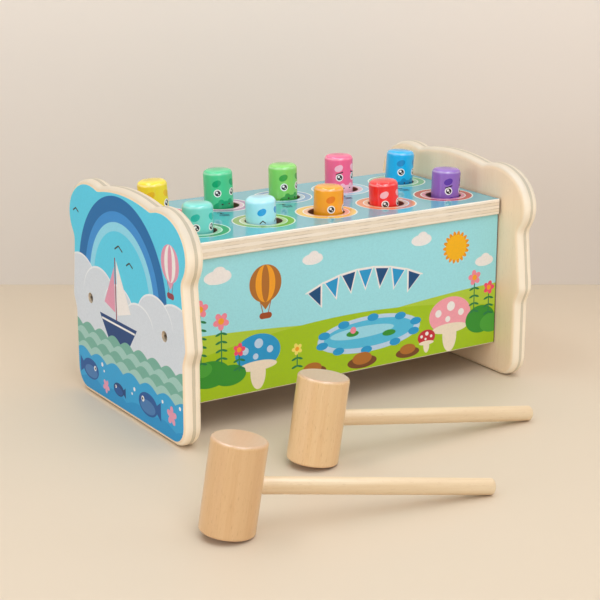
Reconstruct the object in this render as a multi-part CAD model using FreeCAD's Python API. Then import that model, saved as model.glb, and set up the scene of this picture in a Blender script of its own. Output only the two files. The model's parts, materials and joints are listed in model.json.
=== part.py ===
import FreeCAD, Part
import math
import os

# A pounding bench with ten pegs, and the two mallets that lie beside it.
# Two contoured end plates carry a deck and two side panels. The pegs stand loose in the deck in two
# rows, and a rocker under each back and front pair lifts one peg when the other is struck.
# Millimetres. X runs along the bench, Y from the front row to the back row, Z up from the table.

vec = FreeCAD.Vector
along_x = vec(1, 0, 0)
upward = vec(0, 0, 1)

# End plates
plate_thickness = 12.2
plate_body_half_width = 78.2  # upright sides, from the foot to the waist
plate_waist_z = 56.0
plate_cheek_half_width = 82.6  # widest point of the sides, before it is rounded
plate_cheek_z = 65.5
plate_neck_half_width = 75.8  # at the height of the lobes
plate_waist_radius = 9.0
plate_cheek_radius = 9.0
plate_foot_corner_radius = 16.0
plate_top_z = 152.1  # middle of the domed top
plate_dome_radius = 172.0
plate_edge_radius = 4.0
lobe_half_width = 34.0  # rounded lobe at each top corner
lobe_half_height = 26.7
lobe_centre_y = 50.5
lobe_centre_z = 123.5
lobe_blend_radius = 9.0

# Deck and side panels
deck_top_z = 127.3
deck_thickness = 11.0
deck_half_width = 59.3
deck_end_gap = 0.7
board_edge_radius = 1.0
panel_thickness = 9.0
panel_setback = 2.2  # the deck stands over the panel by this much
panel_bottom_z = 22.2

# Pegs and their holes
column_count = 5
column_pitch = 49.16
column_inset = 26.68  # middle of the first and last columns from the end plates
row_offset = 27.67  # each row from the middle of the deck
peg_radius = 10.0
peg_edge_radius = 3.2
peg_dome_rise = 0.8
peg_level_rise = 21.25  # top of a peg over the deck when its rocker is level
hole_clearance = 2.2  # the pegs are loose
hole_edge_radius = 0.6

# Guide board that keeps the pegs upright
guide_bottom_z = 72.0
guide_thickness = 8.0
guide_groove_depth = 2.5
guide_edge_gap = 0.2
guide_end_gap = 0.4

# Foot disc on the lower end of each peg
foot_radius = 14.0
foot_thickness = 5.0
foot_chamfer = 0.6
spigot_radius = 6.0
stop_gap = 1.9  # foot to guide board when the rocker is at its limit

# Rockers, axle and spacers
rocker_limit = 20.0  # degrees each way from level
rocker_width = 16.0
rocker_chamfer = 0.8
knob_radius = 6.0
hub_radius = 9.0
scoop_radius = 8.0  # hollow between the hub and each knob
foot_gap = 0.55  # rocker knob to peg foot
axle_radius = 3.0
axle_socket_depth = 8.0
running_clearance = 0.05
rocker_side_gap = 0.3
spacer_radius = 6.0

# Screws and dowels
screw_shank_radius = 1.75
screw_head_radius = 3.2
screw_head_height = 2.0
screw_recess_radius = 3.6
screw_recess_depth = 3.2
screw_depth_in_panel = 22.0
cross_width = 0.9
cross_reach = 2.1
cross_depth = 1.2
dowel_radius = 3.0
dowel_depth_in_plate = 8.0
dowel_depth_in_panel = 14.0
dowel_inset = 14.0  # end dowels from the top and bottom edges of a panel
deck_dowel_depth = 7.0
deck_dowel_pitch = 90.0

# Mallets
mallet_head_radius = 16.0
mallet_head_length = 54.0
mallet_handle_radius = 5.0
mallet_reach = 160.5  # axis of the head to the end of the handle
mallet_edge_radius = 1.8
mallet_socket_depth = 26.0

# How the pegs happened to be left: the tilt of each rocker in degrees, back row up, and where each
# peg leans, as shares of its clearance at the top of the deck and at the foot of the guide board.
rocker_tilts = [4.9, 9.4, 5.9, 9.3, 3.9]
back_row_leans = [(-0.85, 0.85), (-0.75, 0.1), (0.3, 0.7), (-0.75, -0.5), (0.85, -0.85)]
front_row_leans = [(0.0, 0.0), (-0.85, 0.0), (0.8, 0.35), (-0.8, 0.8), (0.85, -0.1)]

# How the mallets lie: foot of the head from the middle of the bench, and the way the handle points
mallet_front_x = -177.7
mallet_front_y = -197.4
mallet_front_heading = -12.0  # degrees
mallet_rear_x = -80.8
mallet_rear_y = -134.5
mallet_rear_heading = -4.4  # degrees

# Edges are found by their place to within this much
edge_tolerance = 0.001

# Sizes that follow from the ones above
half_length = (column_count - 1) / 2 * column_pitch + column_inset
deck_bottom_z = deck_top_z - deck_thickness
panel_outer_y = deck_half_width - panel_setback
panel_inner_y = panel_outer_y - panel_thickness
panel_middle_y = panel_outer_y - panel_thickness / 2
panel_middle_z = (panel_bottom_z + deck_bottom_z) / 2
hole_radius = peg_radius + hole_clearance
column_xs = [(i - (column_count - 1) / 2) * column_pitch for i in range(column_count)]
guide_top_z = guide_bottom_z + guide_thickness
stroke = row_offset * math.sin(math.radians(rocker_limit))
foot_level_z = guide_bottom_z - stop_gap - stroke - foot_thickness
axle_z = foot_level_z - foot_gap - knob_radius
peg_length = deck_top_z + peg_level_rise - foot_level_z
dowel_heights = (panel_bottom_z + dowel_inset, deck_bottom_z - dowel_inset)
deck_dowel_xs = (-deck_dowel_pitch, 0.0, deck_dowel_pitch)
mallet_tilt = math.atan((mallet_head_length / 2 - mallet_handle_radius) / (mallet_reach - mallet_head_radius))
mallet_places = {
    "front": (mallet_front_x, mallet_front_y, mallet_front_heading),
    "rear": (mallet_rear_x, mallet_rear_y, mallet_rear_heading),
}


def block(low, high):
    return Part.makeBox(high.x - low.x, high.y - low.y, high.z - low.z, low)


def rod_along_x(radius, start, end, y, z):
    return Part.makeCylinder(radius, end - start, vec(start, y, z), along_x)


def rod_up(radius, bottom, top, x, y):
    return Part.makeCylinder(radius, top - bottom, vec(x, y, bottom), upward)


def arc(first, middle, last):
    return Part.Arc(first, middle, last).toShape()


def circle_edges(shape, radius, z):
    found = []
    for edge in shape.Edges:
        if not edge.Degenerated and isinstance(edge.Curve, Part.Circle):
            off = max(abs(edge.Curve.Radius - radius), abs(edge.Curve.Center.z - z))
            if off < edge_tolerance:
                found.append(edge)
    return found


def cut_all(shape, tools):
    return shape.cut(Part.makeCompound(tools))


# Outline of an end plate without its lobes: flat foot, round corners, upright sides to the waist,
# cheeks that lean in to the neck, domed top
def plate_body_face(x):
    corner_y = plate_body_half_width - plate_foot_corner_radius
    corner_diagonal = plate_foot_corner_radius * math.sqrt(0.5)
    dome_centre_z = plate_top_z - plate_dome_radius
    dome_end_z = dome_centre_z + math.sqrt(plate_dome_radius**2 - lobe_centre_y**2)
    side_points = [
        (plate_body_half_width, plate_foot_corner_radius),
        (plate_body_half_width, plate_waist_z),
        (plate_cheek_half_width, plate_cheek_z),
        (plate_neck_half_width, lobe_centre_z),
        (lobe_centre_y, dome_end_z),
    ]
    edges = [Part.makeLine(vec(x, -corner_y, 0), vec(x, corner_y, 0))]
    for side in (1, -1):
        corners = [vec(x, side * y, z) for y, z in side_points]
        edges.append(arc(
            vec(x, side * corner_y, 0),
            vec(x, side * (corner_y + corner_diagonal), plate_foot_corner_radius - corner_diagonal),
            corners[0],
        ))
        edges += [Part.makeLine(corners[i], corners[i + 1]) for i in range(len(corners) - 1)]
    edges.append(arc(
        vec(x, lobe_centre_y, dome_end_z),
        vec(x, 0, plate_top_z),
        vec(x, -lobe_centre_y, dome_end_z),
    ))
    return Part.Face(Part.Wire(Part.__sortEdges__(edges)))


# The edges along X that stand at one place in the outline, on both sides
def upright_corners(plate, half_width, z):
    found = []
    for edge in plate.Edges:
        middle = edge.CenterOfMass
        runs_along_x = abs(edge.Length - plate_thickness) < edge_tolerance
        off = max(abs(abs(middle.y) - half_width), abs(middle.z - z))
        if runs_along_x and off < edge_tolerance:
            found.append(edge)
    return found


def lobe_face(x, side):
    centre = vec(x, side * lobe_centre_y, lobe_centre_z)
    inward = centre + vec(0, -side * lobe_half_width, 0)
    crown = centre + vec(0, 0, lobe_half_height)
    return Part.Face(Part.Wire(Part.Ellipse(inward, crown, centre).toShape()))


# The edges where a lobe meets the side and the top of the plate
def lobe_junctions(plate):
    found = []
    for edge in plate.Edges:
        middle = edge.CenterOfMass
        runs_along_x = abs(edge.Length - plate_thickness) < edge_tolerance
        across = (abs(middle.y) - lobe_centre_y) / lobe_half_width
        up = (middle.z - lobe_centre_z) / lobe_half_height
        if runs_along_x and abs(across**2 + up**2 - 1) < edge_tolerance:
            found.append(edge)
    return found


def face_outline_edges(plate, x_values):
    found = []
    for edge in plate.Edges:
        for x in x_values:
            off = max(abs(edge.BoundBox.XMin - x), abs(edge.BoundBox.XMax - x))
            if off < edge_tolerance:
                found.append(edge)
    return found


def make_left_plate():
    outer_x = -half_length - plate_thickness
    through = vec(plate_thickness, 0, 0)
    plate = plate_body_face(outer_x).extrude(through)
    plate = plate.makeFillet(plate_waist_radius, upright_corners(plate, plate_body_half_width, plate_waist_z))
    plate = plate.makeFillet(plate_cheek_radius, upright_corners(plate, plate_cheek_half_width, plate_cheek_z))
    lobes = [lobe_face(outer_x, side).extrude(through) for side in (1, -1)]
    plate = plate.fuse(lobes).removeSplitter()
    plate = plate.makeFillet(lobe_blend_radius, lobe_junctions(plate))
    plate = plate.makeFillet(plate_edge_radius, face_outline_edges(plate, (outer_x, -half_length)))
    tools = [rod_along_x(axle_radius, -half_length - axle_socket_depth, -half_length, 0, axle_z)]
    for side in (1, -1):
        y = side * panel_middle_y
        tools.append(rod_along_x(screw_recess_radius, outer_x, outer_x + screw_recess_depth, y, panel_middle_z))
        tools.append(rod_along_x(screw_shank_radius, outer_x, -half_length, y, panel_middle_z))
        for z in dowel_heights:
            tools.append(rod_along_x(dowel_radius, -half_length - dowel_depth_in_plate, -half_length, y, z))
    return cut_all(plate, tools)


def make_deck():
    half = half_length - deck_end_gap
    deck = block(vec(-half, -deck_half_width, deck_bottom_z), vec(half, deck_half_width, deck_top_z))
    deck = deck.makeFillet(board_edge_radius, deck.Edges)
    tools = []
    for x in column_xs:
        for y in (-row_offset, row_offset):
            tools.append(rod_up(hole_radius, deck_bottom_z, deck_top_z, x, y))
    for x in deck_dowel_xs:
        for y in (-panel_middle_y, panel_middle_y):
            tools.append(rod_up(dowel_radius, deck_bottom_z, deck_bottom_z + deck_dowel_depth, x, y))
    deck = cut_all(deck, tools)
    return deck.makeFillet(hole_edge_radius, circle_edges(deck, hole_radius, deck_top_z))


def make_front_panel():
    low = vec(-half_length, -panel_outer_y, panel_bottom_z)
    high = vec(half_length, -panel_inner_y, deck_bottom_z)
    panel = block(low, high)
    outer_edges = [edge for edge in panel.Edges if edge.BoundBox.YMax < -panel_outer_y + edge_tolerance]
    rounded = [edge for edge in outer_edges if edge.BoundBox.ZMin < deck_bottom_z - edge_tolerance]
    panel = panel.makeFillet(board_edge_radius, rounded)
    groove_low = vec(-half_length, -panel_inner_y - guide_groove_depth, guide_bottom_z)
    groove_high = vec(half_length, -panel_inner_y, guide_top_z)
    tools = [block(groove_low, groove_high)]
    for x in deck_dowel_xs:
        tools.append(rod_up(dowel_radius, deck_bottom_z - dowel_depth_in_panel, deck_bottom_z, x, -panel_middle_y))
    end_bores = [rod_along_x(
        screw_shank_radius, -half_length, -half_length + screw_depth_in_panel, -panel_middle_y, panel_middle_z
    )]
    for z in dowel_heights:
        end_bores.append(rod_along_x(
            dowel_radius, -half_length, -half_length + dowel_depth_in_panel, -panel_middle_y, z
        ))
    tools += end_bores + [bore.mirror(vec(0, 0, 0), along_x) for bore in end_bores]
    return cut_all(panel, tools)


def make_guide_board():
    half_width = panel_inner_y + guide_groove_depth - guide_edge_gap
    half = half_length - guide_end_gap
    board = block(vec(-half, -half_width, guide_bottom_z), vec(half, half_width, guide_top_z))
    tools = []
    for x in column_xs:
        for y in (-row_offset, row_offset):
            tools.append(rod_up(hole_radius, guide_bottom_z, guide_top_z, x, y))
    return cut_all(board, tools)


# A peg upright with the underside of its foot at the origin
def make_peg():
    edge_z = peg_length - peg_dome_rise - peg_edge_radius
    rim = vec(peg_radius - peg_edge_radius, 0, peg_length - peg_dome_rise)
    diagonal = peg_edge_radius * math.sqrt(0.5)
    rim_middle = vec(rim.x + diagonal, 0, edge_z + diagonal)
    dome_radius = (rim.x**2 + peg_dome_rise**2) / (2 * peg_dome_rise)
    dome_middle_drop = dome_radius - math.sqrt(dome_radius**2 - (rim.x / 2)**2)
    dome_middle = vec(rim.x / 2, 0, peg_length - dome_middle_drop)
    points = [vec(0, 0, 0), vec(spigot_radius, 0, 0), vec(spigot_radius, 0, foot_thickness)]
    points += [vec(peg_radius, 0, foot_thickness), vec(peg_radius, 0, edge_z)]
    edges = [Part.makeLine(points[i], points[i + 1]) for i in range(len(points) - 1)]
    edges.append(arc(points[-1], rim_middle, rim))
    edges.append(arc(rim, dome_middle, vec(0, 0, peg_length)))
    edges.append(Part.makeLine(vec(0, 0, peg_length), vec(0, 0, 0)))
    profile = Part.Face(Part.Wire(edges))
    return profile.revolve(vec(0, 0, 0), upward, 360)


def make_peg_foot():
    disc = rod_up(foot_radius, 0, foot_thickness, 0, 0)
    rims = circle_edges(disc, foot_radius, 0) + circle_edges(disc, foot_radius, foot_thickness)
    disc = disc.makeChamfer(foot_chamfer, rims)
    return disc.cut(rod_up(spigot_radius, 0, foot_thickness, 0, 0))


# A peg's place: its axis passes through one point in the deck hole and one in the guide hole
def peg_placement(column, side, lean):
    top_x = column_xs[column] + lean[0] * hole_clearance
    bottom_x = column_xs[column] + lean[1] * hole_clearance
    slope = (top_x - bottom_x) / (deck_top_z - guide_bottom_z)
    lift = side * row_offset * math.sin(math.radians(rocker_tilts[column]))
    tilted_foot_rise = abs(slope) * rocker_width / 2
    z = foot_level_z + lift + tilted_foot_rise
    x = bottom_x + slope * (z - guide_bottom_z)
    turn = FreeCAD.Rotation(vec(0, 1, 0), math.degrees(math.atan(slope)))
    return FreeCAD.Placement(vec(x, side * row_offset, z), turn)


def placed(shape, placement):
    copy = shape.copy()
    copy.Placement = placement.multiply(copy.Placement)
    return copy


# Side outline of a rocker about its axle: hub, two raised knobs and a scoop between them
def rocker_face():
    to_hub = hub_radius + scoop_radius
    to_knob = knob_radius + scoop_radius
    scoop_y = (row_offset**2 + to_hub**2 - to_knob**2) / (2 * row_offset)
    scoop_z = math.sqrt(to_hub**2 - scoop_y**2)
    scoop = vec(0, scoop_y, scoop_z)
    knob = vec(0, row_offset, 0)
    hub_touch = scoop * (hub_radius / to_hub)
    knob_touch = knob + (scoop - knob) * (knob_radius / to_knob)
    scoop_low = scoop + vec(0, 0, -scoop_radius)
    lean_in = (hub_radius - knob_radius) / row_offset
    below = vec(0, lean_in, -math.sqrt(1 - lean_in**2))
    hub_low = below * hub_radius
    knob_low = knob + below * knob_radius
    knob_out = knob + vec(0, knob_radius, 0)

    def mirrored(point):
        return vec(point.x, -point.y, point.z)

    edges = [
        arc(mirrored(hub_low), vec(0, 0, -hub_radius), hub_low),
        Part.makeLine(hub_low, knob_low),
        arc(knob_low, knob_out, knob_touch),
        arc(knob_touch, scoop_low, hub_touch),
        arc(hub_touch, vec(0, 0, hub_radius), mirrored(hub_touch)),
        arc(mirrored(hub_touch), mirrored(scoop_low), mirrored(knob_touch)),
        arc(mirrored(knob_touch), mirrored(knob_out), mirrored(knob_low)),
        Part.makeLine(mirrored(knob_low), mirrored(hub_low)),
    ]
    return Part.Face(Part.Wire(edges))


def make_rocker():
    rocker = rocker_face().extrude(vec(rocker_width, 0, 0))
    rocker.translate(vec(-rocker_width / 2, 0, 0))
    half = rocker_width / 2
    rocker = rocker.makeChamfer(rocker_chamfer, face_outline_edges(rocker, (-half, half)))
    return rocker.cut(rod_along_x(axle_radius + running_clearance, -half, half, 0, 0))


def make_axle():
    end = half_length + axle_socket_depth
    return rod_along_x(axle_radius, -end, end, 0, axle_z)


def make_spacer(start, end):
    tube = rod_along_x(spacer_radius, start, end, 0, axle_z)
    return tube.cut(rod_along_x(axle_radius, start, end, 0, axle_z))


def make_middle_spacers():
    reach = rocker_width / 2 + rocker_side_gap
    pairs = zip(column_xs[:-1], column_xs[1:])
    return Part.makeCompound([make_spacer(left + reach, right - reach) for left, right in pairs])


def make_end_spacers():
    reach = rocker_width / 2 + rocker_side_gap
    left = make_spacer(-half_length, column_xs[0] - reach)
    right = make_spacer(column_xs[-1] + reach, half_length)
    return Part.makeCompound([left, right])


# A screw along X with the middle of its head's flat top at the origin and its point towards +X
def make_screw():
    shank_end = plate_thickness - screw_recess_depth + screw_head_height + screw_depth_in_panel
    head = rod_along_x(screw_head_radius, 0, screw_head_height, 0, 0)
    top_rim = [edge for edge in head.Edges if edge.BoundBox.XMax < edge_tolerance]
    head = head.makeFillet(screw_head_height / 2, top_rim)
    screw = head.fuse(rod_along_x(screw_shank_radius, screw_head_height, shank_end, 0, 0))
    half = cross_width / 2
    cross = block(vec(0, -cross_reach, -half), vec(cross_depth, cross_reach, half))
    cross = cross.fuse(block(vec(0, -half, -cross_reach), vec(cross_depth, half, cross_reach)))
    return screw.cut(cross).removeSplitter()


def make_end_screws():
    screws = []
    head_top_x = -half_length - plate_thickness + screw_recess_depth - screw_head_height
    for side in (1, -1):
        screw = make_screw()
        screw.translate(vec(head_top_x, side * panel_middle_y, panel_middle_z))
        screws.append(screw)
        screws.append(screw.mirror(vec(0, 0, 0), along_x))
    return Part.makeCompound(screws)


def make_end_dowels():
    dowels = []
    for side in (1, -1):
        for z in dowel_heights:
            start = -half_length - dowel_depth_in_plate
            end = -half_length + dowel_depth_in_panel
            dowel = rod_along_x(dowel_radius, start, end, side * panel_middle_y, z)
            dowels.append(dowel)
            dowels.append(dowel.mirror(vec(0, 0, 0), along_x))
    return Part.makeCompound(dowels)


def make_deck_dowels():
    bottom = deck_bottom_z - dowel_depth_in_panel
    top = deck_bottom_z + deck_dowel_depth
    dowels = []
    for x in deck_dowel_xs:
        for y in (-panel_middle_y, panel_middle_y):
            dowels.append(rod_up(dowel_radius, bottom, top, x, y))
    return Part.makeCompound(dowels)


# A mallet upright: middle of the head's foot at the origin, handle towards +X
def make_mallet_head():
    head = rod_up(mallet_head_radius, 0, mallet_head_length, 0, 0)
    rims = circle_edges(head, mallet_head_radius, 0)
    rims += circle_edges(head, mallet_head_radius, mallet_head_length)
    head = head.makeFillet(mallet_edge_radius, rims)
    socket_end = mallet_head_radius - mallet_socket_depth
    return head.cut(rod_along_x(mallet_handle_radius, socket_end, mallet_head_radius, 0, mallet_head_length / 2))


def make_mallet_handle():
    start = mallet_head_radius - mallet_socket_depth
    handle = rod_along_x(mallet_handle_radius, start, mallet_reach, 0, mallet_head_length / 2)
    far_rim = [edge for edge in handle.Edges if edge.BoundBox.XMin > mallet_reach - edge_tolerance]
    return handle.makeFillet(mallet_edge_radius, far_rim)


# A mallet lies on the rim of its head and the end of its handle
def mallet_placement(x, y, heading):
    lift = (mallet_head_radius - mallet_edge_radius) * math.sin(mallet_tilt)
    lift += mallet_edge_radius * (1 - math.cos(mallet_tilt))
    lean = FreeCAD.Rotation(vec(0, 1, 0), math.degrees(mallet_tilt))
    turn = FreeCAD.Rotation(upward, heading)
    return FreeCAD.Placement(vec(x, y, lift), turn.multiply(lean))


nodes = {}
left_plate = make_left_plate()
nodes["left_end_plate"] = left_plate
nodes["right_end_plate"] = left_plate.mirror(vec(0, 0, 0), along_x)
nodes["deck"] = make_deck()
front_panel = make_front_panel()
nodes["front_side_panel"] = front_panel
nodes["back_side_panel"] = front_panel.mirror(vec(0, 0, 0), vec(0, 1, 0))
nodes["guide_board"] = make_guide_board()
nodes["axle_rod"] = make_axle()
nodes["middle_spacers"] = make_middle_spacers()
nodes["end_spacers"] = make_end_spacers()
nodes["end_screws"] = make_end_screws()
nodes["end_dowels"] = make_end_dowels()
nodes["deck_dowels"] = make_deck_dowels()

rocker = make_rocker()
peg = make_peg()
peg_foot = make_peg_foot()
for column in range(column_count):
    number = column + 1
    tilt = FreeCAD.Rotation(along_x, rocker_tilts[column])
    nodes[f"rocker_{number}"] = placed(rocker, FreeCAD.Placement(vec(column_xs[column], 0, axle_z), tilt))
    for row, side, leans in (("back", 1, back_row_leans), ("front", -1, front_row_leans)):
        place = peg_placement(column, side, leans[column])
        nodes[f"peg_{row}_{number}"] = placed(peg, place)
        nodes[f"peg_foot_{row}_{number}"] = placed(peg_foot, place)

mallet_head = make_mallet_head()
mallet_handle = make_mallet_handle()
for name, (x, y, heading) in mallet_places.items():
    place = mallet_placement(x, y, heading)
    nodes[f"mallet_head_{name}"] = placed(mallet_head, place)
    nodes[f"mallet_handle_{name}"] = placed(mallet_handle, place)

# The origin is on the table, in the middle of the ground that the bench and the mallets cover
footprint = Part.makeCompound(list(nodes.values())).optimalBoundingBox(False, False)
to_origin = vec(-footprint.Center.x, -footprint.Center.y, 0)
os.makedirs("parts", exist_ok=True)
for name, shape in nodes.items():
    shape.translate(to_origin)
    shape.exportStep(f"parts/{name}.step")
print(len(nodes), "nodes, middle of the bench at", round(to_origin.x, 2), round(to_origin.y, 2))
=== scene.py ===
import json
import math

import bmesh
import bpy
from mathutils import Matrix, Vector


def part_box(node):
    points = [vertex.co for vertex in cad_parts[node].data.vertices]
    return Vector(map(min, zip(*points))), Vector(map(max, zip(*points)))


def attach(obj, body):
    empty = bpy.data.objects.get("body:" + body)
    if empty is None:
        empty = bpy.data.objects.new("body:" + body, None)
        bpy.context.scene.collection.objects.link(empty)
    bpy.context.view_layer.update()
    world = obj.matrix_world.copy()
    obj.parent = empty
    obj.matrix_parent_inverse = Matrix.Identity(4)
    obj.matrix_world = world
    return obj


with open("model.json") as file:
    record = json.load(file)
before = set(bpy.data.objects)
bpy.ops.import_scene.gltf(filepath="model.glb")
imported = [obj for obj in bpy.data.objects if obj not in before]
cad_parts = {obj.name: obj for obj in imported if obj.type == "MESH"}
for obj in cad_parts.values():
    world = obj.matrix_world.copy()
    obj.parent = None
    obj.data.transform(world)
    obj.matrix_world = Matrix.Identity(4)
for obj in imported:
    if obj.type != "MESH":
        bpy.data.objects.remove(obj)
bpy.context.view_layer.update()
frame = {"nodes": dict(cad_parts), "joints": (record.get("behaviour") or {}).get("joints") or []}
cadNodes = frame["nodes"]
mm = 0.001

leftLow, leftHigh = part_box("left_end_plate")
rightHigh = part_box("right_end_plate")[1]
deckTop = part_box("deck")[1].z
benchMiddle = Vector(((leftLow.x + rightHigh.x) / 2, (leftLow.y + leftHigh.y) / 2, 0))
rowOffset = 27.67 * mm  # each row of pegs from the middle of the deck


# Helpers that write shader nodes
def tint(code):
    parts = [int(code[i:i + 2], 16) / 255 for i in (1, 3, 5)]
    linear = [p / 12.92 if p <= 0.04045 else ((p + 0.055) / 1.055) ** 2.4 for p in parts]
    return (*linear, 1.0)


def feed(tree, socket, value):  # a link where the value is a socket, else the socket's own value
    if isinstance(value, bpy.types.NodeSocket):
        tree.links.new(value, socket)
    elif isinstance(value, str):
        socket.default_value = tint(value)
    else:
        socket.default_value = value


def calc(tree, operation, *values, clamp=False):
    node = tree.nodes.new("ShaderNodeMath")
    node.operation = operation
    node.use_clamp = clamp
    for socket, value in zip(node.inputs, values):
        feed(tree, socket, value)
    return node.outputs[0]


def times(tree, a, b):
    return calc(tree, "MULTIPLY", a, b)


def plus(tree, a, b):
    return calc(tree, "ADD", a, b)


def minus(tree, a, b):
    return calc(tree, "SUBTRACT", a, b)


def weighed(tree, first, share, second, otherShare):
    return plus(tree, times(tree, first, share), times(tree, second, otherShare))


def noise(tree, vector, scale=1.0, detail=2.0, roughness=0.5, distortion=0.0):
    node = tree.nodes.new("ShaderNodeTexNoise")
    tree.links.new(vector, node.inputs["Vector"])
    node.inputs["Scale"].default_value = scale
    node.inputs["Detail"].default_value = detail
    node.inputs["Roughness"].default_value = roughness
    node.inputs["Distortion"].default_value = distortion
    return node.outputs["Fac"]


def speckle(tree, vector, scale, shift=(0, 0, 0), **settings):  # noise stretched along the grain
    node = tree.nodes.new("ShaderNodeMapping")
    node.inputs["Scale"].default_value = scale
    node.inputs["Location"].default_value = shift
    tree.links.new(vector, node.inputs["Vector"])
    return noise(tree, node.outputs[0], **settings)


def between(tree, value, low, high):  # 0 below low, 1 above high, smooth between
    node = tree.nodes.new("ShaderNodeMapRange")
    node.interpolation_type = "SMOOTHSTEP"
    feed(tree, node.inputs["Value"], value)
    feed(tree, node.inputs["From Min"], low)
    feed(tree, node.inputs["From Max"], high)
    return node.outputs[0]


def blend(tree, mask, under, over):
    node = tree.nodes.new("ShaderNodeMix")
    node.data_type = "RGBA"
    feed(tree, node.inputs[0], mask)
    feed(tree, node.inputs[6], under)
    feed(tree, node.inputs[7], over)
    return node.outputs[2]


def axes(tree, vector):
    node = tree.nodes.new("ShaderNodeSeparateXYZ")
    tree.links.new(vector, node.inputs[0])
    return node.outputs


socketKinds = {"Vector": "Vector", "Light": "Color", "Dark": "Color", "Paint": "Color", "Color": "Color"}


def newGroup(name, takes, gives):  # a socket is a number unless its label stands above
    group = bpy.data.node_groups.new(name, "ShaderNodeTree")
    for direction, labels in (("INPUT", takes), ("OUTPUT", gives)):
        for label in labels:
            kind = "NodeSocket" + socketKinds.get(label, "Float")
            group.interface.new_socket(name=label, in_out=direction, socket_type=kind)
    return group, group.nodes.new("NodeGroupInput").outputs


def give(group, **values):
    sink = group.nodes.new("NodeGroupOutput")
    for label, value in values.items():
        group.links.new(value, sink.inputs[label])
    return group


def use(tree, group, **values):
    node = tree.nodes.new("ShaderNodeGroup")
    node.node_tree = group
    for label, value in values.items():
        feed(tree, node.inputs[label], value)
    return node.outputs


def shades(pair):
    return {"Light": pair[0], "Dark": pair[1]}


def newMaterial(name, **settings):
    material = bpy.data.materials.new(name)
    material.use_nodes = True
    tree = material.node_tree
    shader = tree.nodes["Principled BSDF"]
    for label, value in settings.items():
        feed(tree, shader.inputs[label.replace("_", " ")], value)
    return material, tree, shader


def placed(tree, place, turn=(0, 0, 0)):  # object coordinates in millimetres about a place
    coordinate = tree.nodes.new("ShaderNodeTexCoord")
    node = tree.nodes.new("ShaderNodeMapping")
    node.vector_type = "TEXTURE"
    node.inputs["Location"].default_value = place
    node.inputs["Rotation"].default_value = turn
    node.inputs["Scale"].default_value = (mm, mm, mm)
    tree.links.new(coordinate.outputs["Object"], node.inputs["Vector"])
    return node.outputs[0]


def joined(tree, x, y, z):
    node = tree.nodes.new("ShaderNodeCombineXYZ")
    for socket, value in zip(node.inputs, (x, y, z)):
        feed(tree, socket, value)
    return node.outputs[0]


def relief(tree, shader, height, strength, depth):  # depth in millimetres
    node = tree.nodes.new("ShaderNodeBump")
    node.inputs["Strength"].default_value = strength
    node.inputs["Distance"].default_value = depth * mm
    tree.links.new(height, node.inputs["Height"])
    tree.links.new(node.outputs[0], shader.inputs["Normal"])


def surface(tree, shader, look, colour, pattern, height=None):  # roughness follows the pattern, relief the height
    tree.links.new(colour, shader.inputs["Base Color"])
    roughness = plus(tree, times(tree, pattern, look["sway"]), look["roughness"])
    tree.links.new(roughness, shader.inputs["Roughness"])
    if height:
        relief(tree, shader, height, *look["relief"])


def mixShaders(tree, share, first, second, output):
    mixed = tree.nodes.new("ShaderNodeMixShader")
    for socket, source in zip(mixed.inputs, (share, first, second)):
        tree.links.new(source, socket)
    tree.links.new(mixed.outputs[0], tree.nodes[output].inputs["Surface"])


def addObject(name, data):
    item = bpy.data.objects.new(name, data)
    bpy.context.collection.objects.link(item)
    return item


# Shared effects. Vectors are in millimetres, with the grain along X.
veneerLook = {
    "sway": {"scale": (0.012, 0.03, 0.03), "detail": 1}, "swayReach": 14.0,
    "cathedral": {"scale": (0.004, 0.085, 0.085), "detail": 3, "roughness": 0.6}, "cathedralShare": 0.5,
    "bands": {"scale": (0.006, 0.5, 0.5), "detail": 2}, "bandShare": 0.5, "figureRange": (0.38, 0.68),
    "fibre": {"scale": (0.05, 2.1, 2.1), "detail": 4, "roughness": 0.7}, "fibreMiddle": 0.45, "fibreShare": 0.34,
    "pore": {"scale": (0.14, 3.4, 3.4), "shift": (40, 7, 3), "detail": 1}, "poreRange": (0.66, 0.74),
    "markShare": 0.35, "markInk": "#8E6B47", "fibreRise": 0.6, "markDrop": 0.5,
}
plyLook = {
    "uneven": 0.25, "drift": {"scale": (0.02, 0.02, 0.02), "detail": 2}, "lineRange": (0.1, 0.34),
    "broken": {"scale": (0.11, 0.11, 0.11), "shift": (9, 2, 5), "detail": 3}, "brokenRange": (0.36, 0.62),
}
beechLook = {
    "rings": {"scale": (0.006, 0.16, 0.16), "detail": 2, "distortion": 0.4}, "ringShare": 0.55,
    "streak": {"scale": (0.02, 0.8, 0.8), "detail": 4, "roughness": 0.65}, "streakShare": 0.45,
    "figureRange": (0.36, 0.66), "figure": 0.75,
    "fibre": {"scale": (0.09, 3.2, 3.2), "detail": 3, "roughness": 0.7}, "fibreMiddle": 0.45, "fibreShare": 0.45,
    "ray": {"scale": (0.24, 2.1, 2.1), "shift": (11, 3, 17), "detail": 1}, "rayRange": (0.63, 0.72),
    "markShare": 0.5, "markInk": "#B37F4B", "fibreRise": 0.5, "markDrop": 0.4,
}
endGrainLook = {
    "pith": (31.0, 22.0), "ringTurns": 2.2, "wobble": {"scale": (0.06, 0.06, 0.06), "detail": 2}, "wobbleTurns": 9.0,
    "ringShare": 0.05, "dots": {"scale": (1.0, 4.5, 4.5), "detail": 3, "roughness": 0.8}, "dotShare": 0.95,
    "range": (0.2, 0.9),
}
paintLook = {
    "deeper": 0.12, "deepTint": (0.72, 0.7, 0.72, 1), "ripple": {"scale": (0.45, 0.45, 0.3), "detail": 2},
    "rippleShare": 0.8, "skin": {"scale": (2.6, 2.6, 2.0), "detail": 2}, "skinShare": 0.2, "hazeRange": (0.3, 0.8),
    "cloud": {"scale": (0.12, 0.12, 0.09), "shift": (3, 8, 1), "detail": 3}, "cloudRange": (0.35, 0.7),
}


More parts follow.
